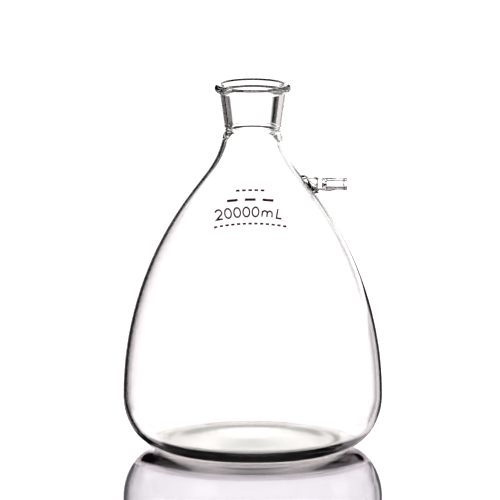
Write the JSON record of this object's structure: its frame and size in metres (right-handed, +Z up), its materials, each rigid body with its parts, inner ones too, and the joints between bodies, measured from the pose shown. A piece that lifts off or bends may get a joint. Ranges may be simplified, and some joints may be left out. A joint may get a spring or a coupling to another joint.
{
  "type": "filter flask",
  "caption": "Large pear-shaped glass vacuum filter flask with a beaded tapered neck and one hose nozzle on the shoulder.",
  "frame": {"origin": "centre of the foot, on the surface the flask stands on", "axes": "+Z up along the vessel's axis, +X along the hose nozzle, the print faces -Y"},
  "size_m": [0.3369, 0.337, 0.4765],
  "materials": {
    "glass": "fire-polished clear borosilicate glass, faintly green through its edges",
    "enamel": "fired dark maroon screen print"
  },
  "bodies": {
    "root": {"vessel": "glass", "neck_weld": "glass", "neck": "glass", "rim_bead": "glass", "side_arm_boss": "glass", "hose_nozzle": "glass", "capacity_print": "enamel"}
  },
  "joints": []
}
